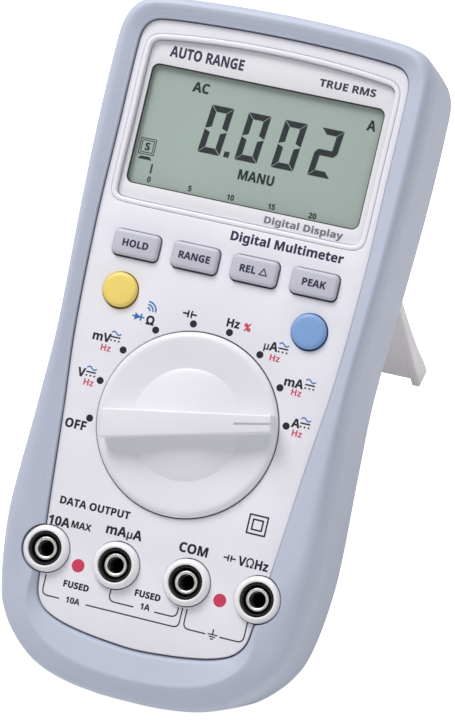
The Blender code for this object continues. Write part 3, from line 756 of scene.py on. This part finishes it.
def add_screws():
    arm, half = 1.25, 0.28
    corner = [(arm, half), (half, half), (half, arm)]
    cross = []
    for x, y in ((1, 1), (-1, 1), (-1, -1), (1, -1)):
        cross += [(x * u, y * v) for u, v in (corner if x * y > 0 else corner[::-1])]
    for name in sorted(frame["nodes"]):
        if "screw" not in name:
            continue
        low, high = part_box(name)
        middle = METER.inverted() @ ((low + high) / 2) / MM
        if name == "battery_cover_screw":
            start, head, radius, shank, length = RECESS_Z - 0.65, 0.9, 2.4, 0.9, 5.6
        else:
            start, head, radius, shank, length = -35.0, 1.7, 2.5, 1.3, 24.5
        top = plate(circle(0, 0, radius, 48), [cross], 0.0, head - 0.35, 0.25)
        end = head + length
        rest = [(0, head - 0.5), (radius, head - 0.5), (radius, head), (shank, head), (shank, end), (0, end)]
        rest = turned(rest, 32)
        piece(name + "_head", combine(top, rest), "meter", "steel", at(middle.x, middle.y, start), [name])


# ---- display ----


def add_display():
    outline = inset(smooth_half(DISPLAY), GAP)
    lens = plate(outline, [], -1.2, -0.6, 0.2, 3)
    piece("display_window", lens, "meter", "lens_clear", nodes=["display_lens"])
    opening = rounded_box(-31.5, 31.2, 129.6, 161.2, 2, 10)
    label = plate(outline, [opening], -1.8, LABEL_Z, 0.04, 2)
    piece("display_label", label, "meter", "label_white", nodes=["display_mask"])
    # A black ring showing just inside the label's opening: painted shadow along the edge of the LCD's recess.
    opening_shade = plate(inset(opening, -0.02), [inset(opening, 0.32)], -2.3, -1.85, 0.05, 2)
    piece("display_edge_shade", opening_shade, "meter", "plastic_black")


SEGMENTS = {
    "a": ((0, 2), (1, 2)), "b": ((1, 2), (1, 1)), "c": ((1, 1), (1, 0)), "d": ((1, 0), (0, 0)),
    "e": ((0, 0), (0, 1)), "f": ((0, 1), (0, 2)), "g": ((0, 1), (1, 1)),
}
DIGITS = {"0": "abcdef", "2": "abged"}


def lcd_digit(figure, x, y, width=6.0, height=12.6, thick=1.6, slant=0.085):
    """Outlines of one slanted seven-segment figure, whose lower left corner is at (x, y)."""
    made = []
    gap = 0.11
    half = thick / 2
    for key in DIGITS[figure]:
        (x0, y0), (x1, y1) = SEGMENTS[key]
        start = Vector((x0 * width, y0 * height / 2))
        end = Vector((x1 * width, y1 * height / 2))
        along = (end - start).normalized()
        across = Vector((-along.y, along.x))
        if key == "g":
            shape = []
            for point, way in ((start, 1), (end, -1)):
                tip, shoulder = point + along * way * gap, point + along * way * (half + gap)
                shape += [shoulder + across * way * half, tip, shoulder - across * way * half]
        else:
            inward = (Vector((width / 2, height / 2)) - (start + end) / 2).normalized()
            inward = across if across.dot(inward) > 0 else -across
            middles = [abs(point.y - height / 2) < 0.01 for point in (start, end)]
            shape = [start + along * gap, end - along * gap]
            for point, way, middle in ((end, -1, middles[1]), (start, 1, middles[0])):
                taper = thick * 0.4 if middle else thick
                shape.append(point + along * way * (gap + taper) + inward * thick)
        made.append([(x + point.x + point.y * slant, y + point.y) for point in shape])
    return made


def anticlockwise(outline):
    area = sum(a[0] * b[1] - b[0] * a[1] for a, b in zip(outline, outline[1:] + outline[:1]))
    return outline if area > 0 else list(reversed(outline))


def sticker(outline, low=0.0, thick=PRINT, holes=()):
    """A thin flat shape, for print and LCD segments."""
    holes = [anticlockwise(hole) for hole in holes]
    return plate(anticlockwise(outline), holes, low, low + thick, thick * 0.3, 1)


def line(points, width, low=0.0, thick=PRINT):
    """A thin flat stroke of even width along a polyline."""
    spots = [Vector(point) for point in points]
    left, right = [], []
    for i, spot in enumerate(spots):
        before = (spot - spots[max(i - 1, 0)]).normalized() if i else (spots[1] - spot).normalized()
        after = (spots[i + 1] - spot).normalized() if i + 1 < len(spots) else before
        along = (before + after).normalized()
        across = Vector((-along.y, along.x)) * width / 2 / max(along.dot(after), 0.5)
        left.append(tuple(spot + across))
        right.append(tuple(spot - across))
    return sticker(right + left[::-1], low, thick)


def round_corner(points, radius, steps=5):
    """A polyline whose inner corners are rounded."""
    made = [Vector(points[0])]
    for before, corner, after in zip(points, points[1:], points[2:]):
        corner = Vector(corner)
        start = corner + (Vector(before) - corner).normalized() * radius
        end = corner + (Vector(after) - corner).normalized() * radius
        for step in range(steps + 1):
            t = step / steps
            made.append(start * (1 - t) ** 2 + corner * 2 * t * (1 - t) + end * t * t)
    made.append(Vector(points[-1]))
    return [tuple(point) for point in made]


# ---- lettering ----

CAP_HEIGHT = 0.714  # of the built-in bold letters at size 1
BOLD = [("A", 0x1D5D4), ("a", 0x1D5EE), ("0", 0x1D7EC)]  # where the bold sans-serif letters and digits start


def bold_letter(letter):
    for first, start in BOLD:
        if first <= letter <= chr(ord(first) + (9 if first == "0" else 25)):
            return chr(start + ord(letter) - ord(first))
    return letter


def lettering(text, x, y, height, low, thick=PRINT, weight=0.026, width=None):
    """Bold text as a thin flat shape centred on (x, y), with capitals of that height and a width if given."""
    curve = bpy.data.curves.new("text", "FONT")
    curve.body = "".join(bold_letter(letter) for letter in text)
    curve.size = height / CAP_HEIGHT
    curve.align_x = "CENTER"
    curve.extrude = thick / 2
    curve.bevel_depth = weight * height
    curve.bevel_resolution = 0
    curve.resolution_u = 4
    item = bpy.data.objects.new("text", curve)
    mesh = bpy.data.meshes.new_from_object(item)
    spots = [vertex.co for vertex in mesh.vertices]
    wide = width / (max(spot.x for spot in spots) - min(spot.x for spot in spots)) if width else 1.0
    flatten = thick / (thick + 2 * weight * height)
    points = []
    for spot in spots:
        points.append((x + spot.x * wide, y + spot.y - height / 2, low + thick / 2 + spot.z * flatten))
    faces = [tuple(polygon.vertices) for polygon in mesh.polygons]
    bpy.data.objects.remove(item)
    bpy.data.curves.remove(curve)
    bpy.data.meshes.remove(mesh)
    return points, [], faces


def wave(x, y, width, height, stroke):
    steps = 12
    points = []
    for step in range(steps + 1):
        t = step / steps
        points.append((x + (t - 0.5) * width, y + math.sin(2 * math.pi * t) * height / 2))
    return line(points, stroke)


def bold(text, x, y, height=2.2, **extra):
    return lettering(text, x, y, height, 0.0, **extra)


def ac_dc(x, y, black, blue):
    """The marks for alternating current, in blue, over direct current, in black."""
    blue.append(wave(x, y + 1.0, 2.6, 0.8, 0.36))
    black.append(line([(x - 1.3, y - 0.05), (x + 1.3, y - 0.05)], 0.38))
    for step in (-1.05, 0, 1.05):
        black.append(line([(x + step - 0.22, y - 0.95), (x + step + 0.22, y - 0.95)], 0.42))


def capacitor(x, y, size):
    """The capacitor sign: two plates with their leads."""
    left, right, stroke = x - size * 0.28, x + size * 0.28, size * 0.3
    made = [line([(x - size * 1.25, y), (left, y)], stroke)]
    made.append(line([(right, y), (x + size * 1.25, y)], stroke))
    made.append(line([(left, y - size * 0.62), (left, y + size * 0.62)], stroke))
    bowed = []
    for turn in (-1.2, -0.6, 0, 0.6, 1.2):
        bowed.append((x + size * (0.46 - 0.18 * math.cos(turn)), y + size * 0.66 * math.sin(turn)))
    made.append(line(bowed, size * 0.28))
    return made


def add_panel_print():
    black, navy, blue, red = [], [], [], []
    dot_reach = 25.75
    for angle in (-98.8, -76.5, -54.6, -32.5, -10.1, 11.7, 33.7, 56.0, 78.0):
        turn = math.radians(angle)
        dot = circle(dot_reach * math.sin(turn), DIAL_Y + dot_reach * math.cos(turn), 0.93, 24)
        black.append(sticker(dot))
    black.append(bold("OFF", -28.7, 66.0, 2.3, width=5.7))
    for text, x, y in (
        ("V", -30.4, 79.3), ("mV", -27.4, 89.3), ("µA", 16.5, 96.4), ("mA", 24.5, 88.6), ("A", 27.5, 78.8),
    ):
        black.append(bold(text, x, y))
    for x, y in ((-27.9, 79.8), (-23.7, 89.9), (19.9, 96.4), (28.8, 88.9), (29.9, 79.2)):
        ac_dc(x, y, black, blue)
    for x, y in ((-28.0, 77.1), (-25.7, 86.7), (18.2, 93.6), (25.7, 86.3), (28.3, 76.3)):
        red.append(bold("Hz", x, y, 1.65, weight=0.0))
    black.append(bold("Ω", -15.8, 96.0, 2.1, weight=0.07))
    black += capacitor(-6.0, 99.8, 1.5)
    black.append(bold("Hz", 5.6, 99.9, 2.1))
    red.append(bold("%", 9.5, 99.7, 1.9, weight=0.06))
    # The diode and sounder signs.
    blue += [line([(-20.8, 96.3), (-17.5, 96.3)], 0.4), line([(-18.4, 95.4), (-18.4, 97.2)], 0.46)]
    blue.append(sticker([(-20.1, 95.3), (-18.5, 96.3), (-20.1, 97.3)]))
    for radius in (0.8, 1.6, 2.4):
        turns = [math.radians(angle) for angle in range(0, 91, 15)]
        arc = [(-17.3 + radius * math.cos(turn), 98.3 + radius * math.sin(turn)) for turn in turns]
        blue.append(line(arc, 0.42))
    navy.append(bold("Digital Multimeter", 14.6, 121.7, 2.3, width=30.0))
    black.append(bold("DATA OUTPUT", -18.6, 46.4, 1.9, width=19.0))
    black += [bold("10A", -27.0, 40.9, 2.3), bold("MAX", -21.0, 41.0, 1.7), bold("mAµA", -9.6, 42.0, 2.4)]
    black += [bold("COM", 9.3, 41.9, 2.4), bold("VΩHz", 25.2, 41.9, 2.3, width=8.0)]
    black += capacitor(18.9, 41.9, 1.3)
    black += [bold("FUSED", x, y, 1.6, weight=0.04) for x, y in ((-18.6, 25.9), (0.3, 27.9))]
    black += [bold("1A", 0.3, 24.9, 1.5), bold("10A", -18.6, 22.0, 1.5)]
    # Lines from each jack to the common one.
    for points in (
        [(-27.0, 27.0), (-27.0, 21.8), (-22.2, 21.8)], [(-15.0, 21.8), (10.0, 21.8), (10.0, 26.9)],
        [(-9.4, 27.2), (-9.4, 24.2), (-2.6, 24.2)], [(3.0, 24.2), (8.9, 24.2), (8.9, 26.9)],
        [(11.2, 27.0), (11.2, 22.0), (17.2, 22.0)], [(21.0, 22.0), (27.2, 22.0), (27.2, 27.3)],
    ):
        black.append(line(round_corner(points, 1.6), 0.33))
    earth_x = 19.1
    black.append(line([(earth_x, 23.6), (earth_x, 22.3)], 0.35))
    for y, half in ((22.2, 1.3), (21.65, 0.85), (21.1, 0.4)):
        black.append(line([(earth_x - half, y), (earth_x + half, y)], 0.3))
    for half in (2.6, 1.5):
        square = rounded_box(23.9 - half, 23.9 + half, 51.6 - half, 51.6 + half, 0.2, 2)
        black.append(sticker(square, holes=[inset(square, 0.42)]))
    for x in (-19.3, 18.9):
        red.append(sticker(circle(x, 31.0, 1.7, 48)))
    for name, shapes in (("black", black), ("navy", navy), ("blue", blue), ("red", red)):
        piece("panel_print_" + name, combine(*shapes), "meter", "label_white", material=INKS[name])
    strip = [lettering("AUTO RANGE", -17.6, 164.9, 2.7, LABEL_Z, width=20.0)]
    strip.append(lettering("TRUE RMS", 20.2, 164.6, 1.9, LABEL_Z, width=15.0))
    piece("label_print_navy", combine(*strip), "meter", "label_white", material=INKS["navy"])
    small = lettering("Digital Display", 17.2, 127.5, 1.75, LABEL_Z, width=21.0)
    piece("label_print_grey", small, "meter", "label_white", material=INKS["grey"])


def add_lcd_figures():
    flat = {"low": SEGMENT_Z, "thick": SEGMENT_THICK}
    shapes = []
    for figure, x in zip("0002", (-15.0, -5.0, 4.8, 14.6)):
        for outline in lcd_digit(figure, x, 141.1):
            shapes.append(sticker(outline, **flat))
    shapes.append(sticker([(-8.0, 141.1), (-6.6, 141.1), (-6.5, 142.6), (-7.9, 142.6)], **flat))
    for text, x, y, height, width in (
        ("AC", -17.8, 157.3, 2.5, 4.5), ("A", 28.1, 156.6, 2.6, 2.4), ("MANU", 1.8, 137.6, 2.5, 9.6),
        ("0", -25.8, 131.5, 1.4, 0.95), ("5", -14.6, 131.4, 1.4, 0.95), ("10", -3.6, 131.3, 1.4, 1.9),
        ("15", 7.5, 131.2, 1.4, 1.9), ("20", 18.5, 131.1, 1.4, 2.1),
    ):
        shapes.append(lettering(text, x, y, height, width=width, **flat))
    shapes.append(sticker(rounded_box(-26.05, -25.6, 133.0, 135.5, 0.1, 2), **flat))
    for half in (2.15, 1.65):
        square = rounded_box(-28.2 - half, -28.2 + half, 139.7 - half, 139.7 + half, 0.15, 2)
        shapes.append(sticker(square, holes=[inset(square, 0.2)], **flat))
    shapes.append(lettering("S", -28.2, 139.7, 1.9, **flat))
    shapes.append(sticker([(-30.1, 136.3), (-29.4, 137.1), (-27.0, 137.1), (-26.3, 136.3)], **flat))
    piece("lcd_figures", combine(*shapes), "meter", "lcd_glass", material=INKS["segment"])


# ---- controls ----


def add_keys():
    legends = {"key_hold": "HOLD", "key_range": "RANGE", "key_relative": "REL △", "key_peak": "PEAK"}
    rise = [(-4.2, 0.9), (-3.2, 0.9), (-3.2, 0.0), (0.55, 0.0), (0.9, -0.05), (1.15, -0.17), (1.33, -0.36),
            (1.44, -0.6), (KEY_TOP, -0.95)]
    for number, name in enumerate(KEYS):
        layers = [(z, key_outline(0, 0, grow)) for z, grow in rise]
        place = at(key_x(number), KEY_Y)
        piece(name + "_cap", loft(layers), rider(name), "key_grey", place, [name])
        legend = lettering(legends[name], 0, 0, 1.8, KEY_TOP, weight=0.03)
        piece(name + "_legend", legend, rider(name), "key_grey", place, material=INKS["navy"])
    edge = ROUND_KEY_RADIUS
    profile = [
        (0, -4.2), (edge + 0.9, -4.2), (edge + 0.9, -3.2), (edge, -3.2), (edge, 0.5), (edge - 0.05, 0.8),
        (edge - 0.18, 1.05), (edge - 0.4, 1.25), (edge - 0.7, 1.38), (edge - 1.2, 1.44), (2.0, 1.48),
        (0, KEY_TOP),
    ]
    for name, side in (("key_yellow", -1), ("key_blue", 1)):
        place = at(side * ROUND_KEY_X, ROUND_KEY_Y)
        piece(name + "_cap", turned(profile), rider(name), name, place, [name])


def add_dial():
    edge = DIAL_RADIUS
    profile = [
        (0, -6.0), (8.6, -6.0), (8.6, -1.1), (edge - 0.3, -1.1), (edge, -0.8), (edge, 0.15),
        (edge - 0.07, 0.5), (edge - 0.28, 0.88), (edge - 0.62, 1.2), (edge - 1.05, 1.42), (edge - 1.55, 1.5),
        (edge - 2.2, 1.47),
        (20.0, 1.3), (18.0, 1.08), (16.0, 0.86), (14.7, 0.72), (14.35, 0.69), (14.2, 0.75), (13.9, 0.86),
        (13.0, 1.06), (11.0, 1.48), (9.0, 1.86), (7.0, 2.2), (5.0, 2.48), (2.5, 2.72), (0, 2.8),
    ]
    grip = [(-3.75, -21.2), (3.75, -21.2), (2.25, 23.2), (-2.25, 23.2)]
    groove = plate([(-0.28, 13.6), (0.28, 13.6), (0.28, 24), (-0.28, 24)], [], 5.5, 7, 0.05, 1)
    piece("dial_cap", turned(profile, 160), "dial", "knob_white", DIAL, ["dial_knob"])
    grip = plate(grip, [], 0.2, 6.0, 0.55, 5)
    piece("dial_grip", grip, "dial", "knob_white", DIAL, cuts=[groove])


def add_jacks():
    collar = [(4.45, -3.0), (6.0, -3.0), (6.0, 0.8), (5.95, 1.1), (5.8, 1.35), (5.45, 1.65), (5.2, 1.88),
              (4.95, 1.98), (4.7, 2.0), (4.55, 1.93), (4.47, 1.8), (4.45, 1.6)]
    liner = [(3.7, -7.0), (3.02, -7.0), (3.02, -18.0), (4.15, -18.0), (4.15, 1.2), (4.08, 1.36), (3.95, 1.4),
             (3.8, 1.36), (3.7, 1.2)]
    sleeve = [(2.02, -2.2), (2.02, -19.5), (2.95, -19.5), (2.95, 0.65), (2.88, 0.83), (2.72, 0.9),
              (2.4, 0.88), (2.2, 0.75), (2.1, 0.5), (2.1, -2.2)]
    bore = [(0.0, -15.0), (2.0, -15.0), (2.0, -1.6), (1.75, -1.5), (1.72, -14.0), (0.0, -14.2)]
    for number, name in enumerate(JACKS):
        place = at(jack_x(number), JACK_Y)
        for part, profile, slot in (
            ("collar", collar, "collar_white"),
            ("liner", liner, "plastic_black"),
            ("sleeve", sleeve, "contact_metal"),
        ):
            node = f"jack_{part}_{name}"
            piece(f"socket_{part}_{name}", tube(profile), "meter", slot, place, [node])
        # A matt black cup inside each metal sleeve: painted shade that darkens the socket's hole.
        piece(f"socket_bore_{name}", turned(bore, 48), "meter", "plastic_black", place, material=HOLE_PAINTED_SHADE)


def add_port():
    window = plate(rounded_box(-7.7, 7.7, 151.3, 158.7, 1.2), [], REAR_Z, REAR_Z + 0.9, 0.25)
    domes = []
    for x in (-3.6, 3.6):
        dome = turned([(0, -0.28), (1.1, -0.24), (1.7, -0.14), (2.0, -0.02), (2.0, 0.1), (0, 0.1)], 48)
        domes.append(moved(dome, Matrix.Translation((x, 155, REAR_Z + 0.2))))
    piece("port_window", combine(window, *domes), "meter", "port_filter", nodes=["optical_port"])


# ---- tilt stand ----


def add_stand():
    foot = STAND_REACH + 7.0 * math.tan(STAND_OPEN + LEAN - math.pi / 2)
    side_edge = curve_through([(-0.2, 1.4), (40, 2.4), (75, 3.7), (95, 5.2), (107, 6.6), (foot, 7.0)], 5)
    profile = [(-0.2, 0.0), (STAND_REACH, 0.0)] + list(reversed(side_edge))
    flank = anticlockwise([(-reach, -depth) for reach, depth in profile])
    shapes = []
    for ends in ((-STAND_HALF, -STAND_HALF + 2.6), (STAND_HALF - 2.6, STAND_HALF)):
        shapes.append(along_x(plate(flank, [], *ends, 0.55, 4)))
    shapes.append(plate(rounded_box(-STAND_HALF + 1, STAND_HALF - 1, -107.0, 0, 1.0), [], -2.1, -0.2, 0.4))
    end = STAND_HALF + 0.1
    barrel = [(0, -30.0), (1.3, -30.0), (1.5, -29.8), (1.5, -end), (1.9, -end),
              (1.9, end), (1.5, end), (1.5, 29.8), (1.3, 30.0), (0, 30.0)]
    shapes.append(along_x(turned(barrel, 48)))
    for x in (-14, 0, 14):
        shapes.append(plate(rounded_box(x - 0.7, x + 0.7, -96, -12, 0.7), [], -2.6, -1.9, 0.22, 3))
    piece("stand_leg", combine(*shapes), "stand", "stand_white", STAND, ["tilt_stand"])


# ---- studio ----


def aim(item, target):
    item.rotation_mode = "QUATERNION"
    item.rotation_quaternion = (target - item.location).to_track_quat("-Z", "Y")


def add_studio():
    scene = bpy.context.scene
    floor_mesh = bpy.data.meshes.new("floor")
    floor_mesh.from_pydata([(-4, -4, 0), (4, -4, 0), (4, 4, 0), (-4, 4, 0)], [], [(0, 1, 2, 3)])
    look = Look("floor_paper", Emission_Color=(1, 1, 1, 1), Emission_Strength=0.8)
    tint = look.mix(look.noise(60, 2), (0.90, 0.90, 0.905), (0.93, 0.93, 0.93))
    floor_mesh.materials.append(look.finish(tint, look.ramp(look.noise(4, 2), 0, 1, 0.8, 0.95)))
    floor = added("floor", floor_mesh)
    floor.location.z = -0.0002
    # The floor's own glow keeps it white, and lights nothing else.
    lit = bpy.data.collections.new("lit_by_floor")
    lit.objects.link(floor)
    floor.light_linking.receiver_collection = lit

    world = bpy.data.worlds.new("studio")
    world.use_nodes = True
    world.node_tree.nodes["Background"].inputs["Color"].default_value = (1, 1, 1, 1)
    world.node_tree.nodes["Background"].inputs["Strength"].default_value = 0.41
    scene.world = world

    middle = METER @ (Vector((0, 85, 0)) * MM)
    for name, place, size, power, colour in (
        ("key", (-0.38, 0.05, 0.95), 0.5, 6.4, (1, 0.99, 0.98)),
        ("fill", (0.7, -0.8, 0.5), 0.8, 1.3, (0.97, 0.98, 1)),
        ("top", (0.2, 0.5, 0.9), 0.6, 1.6, (1, 1, 1)),
    ):
        lamp = bpy.data.lights.new(name, "AREA")
        lamp.shape = "DISK"
        lamp.size = size
        lamp.energy = power
        lamp.color = colour
        item = added(name, lamp)
        item.location = place
        aim(item, middle)

    azimuth, elevation, distance = math.radians(19.62), math.radians(39.82), 0.9
    level = Vector((math.sin(azimuth), -math.cos(azimuth), 0))
    back = level * math.cos(elevation) + Vector((0, 0, math.sin(elevation)))
    camera = bpy.data.cameras.new("camera")
    camera.lens = 177.4
    camera.sensor_width = 36
    camera.shift_x, camera.shift_y = 0.0400, 0.0219
    camera.clip_start, camera.clip_end = 0.01, 20
    view = added("camera", camera)
    view.location = middle + back * distance
    aim(view, middle)
    scene.camera = view
    scene.view_settings.view_transform = "Standard"


add_holster()
add_front_case()
add_rear_case()
add_battery_cover()
add_screws()
add_display()
add_panel_print()
add_lcd_figures()
add_keys()
add_dial()
add_jacks()
add_port()
add_stand()
add_studio()
